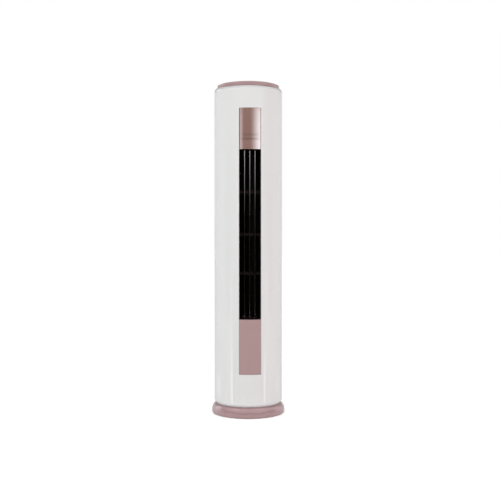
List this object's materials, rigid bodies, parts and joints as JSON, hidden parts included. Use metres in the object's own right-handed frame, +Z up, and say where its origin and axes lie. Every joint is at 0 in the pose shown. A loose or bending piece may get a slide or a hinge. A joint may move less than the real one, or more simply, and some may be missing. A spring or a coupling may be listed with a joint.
{
  "type": "floor standing air conditioner",
  "caption": "Tall round cabinet air conditioner with a front louvre window, swinging vertical blades, cross-flow fan and rear filter cassettes.",
  "frame": {"origin": "on the floor at the middle of the base, under the cabinet's axis", "axes": "+Z up along the cabinet, the louvre window faces -Y, +X to the right seen from the front"},
  "size_m": [0.4, 0.4, 1.8],
  "materials": {
    "gloss_white": "glossy white moulded shell",
    "dusty_pink": "dusty pink pearl paint",
    "satin_pink": "satin dusty pink panel",
    "rose_gold": "metallised rose gold panel",
    "black_plastic": "matte black moulding",
    "dark_blade": "satin black moulding",
    "grey_plastic": "grey moulding",
    "filter_grey": "pale grey moulding",
    "zinc_steel": "zinc plated sheet",
    "fin_aluminium": "fine fins",
    "copper": "drawn copper tube",
    "brass": "turned brass",
    "rubber": "matte black rubber",
    "white_foam": "white insulated tray",
    "board_green": "printed circuit board"
  },
  "bodies": {
    "cabinet": {"base_ring": "dusty_pink", "base_plate": "zinc_steel", "foot_front_left": "rubber", "foot_front_right": "rubber", "foot_rear_right": "rubber", "foot_rear_left": "rubber", "front_shell": "gloss_white", "rear_shell": "gloss_white", "filter_frame": "black_plastic", "top_cap": "dusty_pink", "outlet_frame": "black_plastic", "display_panel": "rose_gold", "lower_panel": "satin_pink", "display_board": "board_green", "swing_motor": "zinc_steel", "lower_shelf": "zinc_steel", "upper_shelf": "zinc_steel", "scroll_wall": "black_plastic", "tongue_wall": "black_plastic", "fan_bearing_bush": "rubber", "fan_bearing_holder": "grey_plastic", "fan_motor": "zinc_steel", "fan_motor_bracket": "zinc_steel", "evaporator_fins": "fin_aluminium", "evaporator_end_right": "fin_aluminium", "evaporator_end_left": "copper", "gas_pipe": "copper", "gas_flare_nut": "brass", "liquid_pipe": "copper", "liquid_flare_nut": "brass", "drain_pan": "white_foam", "drain_hose": "grey_plastic", "pipe_hole_cover": "gloss_white", "cable_gland": "rubber", "control_box": "zinc_steel", "control_box_lid": "grey_plastic", "main_board": "board_green"},
    "middle_blade": {"blade_middle": "dark_blade", "swing_motor_shaft": "zinc_steel"},
    "left_blade": {"blade_left": "dark_blade"},
    "right_blade": {"blade_right": "dark_blade"},
    "tie_bar": {"blade_tie_bar": "black_plastic"},
    "fan": {"fan_rotor": "dark_blade", "fan_motor_shaft": "zinc_steel"},
    "lower_filter": {"filter_lower": "filter_grey"},
    "upper_filter": {"filter_upper": "filter_grey"}
  },
  "joints": [
    {"name": "blade_middle_swing", "type": "hinge", "parent": "cabinet", "child": "middle_blade", "pos_m": [0, -0.128, 0.98], "axis": [0, 0, 1], "range_deg": [-40, 40]},
    {"name": "blade_left_swing", "type": "hinge", "parent": "cabinet", "child": "left_blade", "pos_m": [-0.028, -0.128, 0.98], "axis": [0, 0, 1], "range_deg": [-40, 40]},
    {"name": "blade_right_swing", "type": "hinge", "parent": "cabinet", "child": "right_blade", "pos_m": [0.028, -0.128, 0.98], "axis": [0, 0, 1], "range_deg": [-40, 40]},
    {"name": "tie_bar_pivot", "type": "hinge", "parent": "middle_blade", "child": "tie_bar", "pos_m": [0, -0.106, 1.4015], "axis": [0, 0, 1], "range_deg": [-40, 40]},
    {"name": "fan_spin", "type": "hinge", "parent": "cabinet", "child": "fan", "pos_m": [0, 0.01, 0.98], "axis": [0, 0, 1], "continuous": true},
    {"name": "filter_lower_pull", "type": "slide", "parent": "cabinet", "child": "lower_filter", "axis": [0, 1, 0], "range_m": [0, 0.15]},
    {"name": "filter_upper_pull", "type": "slide", "parent": "cabinet", "child": "upper_filter", "axis": [0, 1, 0], "range_m": [0, 0.15]}
  ],
  "couplings": [
    {"joint": "blade_left_swing", "follows": "blade_middle_swing", "ratio": 1},
    {"joint": "blade_right_swing", "follows": "blade_middle_swing", "ratio": 1},
    {"joint": "tie_bar_pivot", "follows": "blade_middle_swing", "ratio": -1}
  ]
}
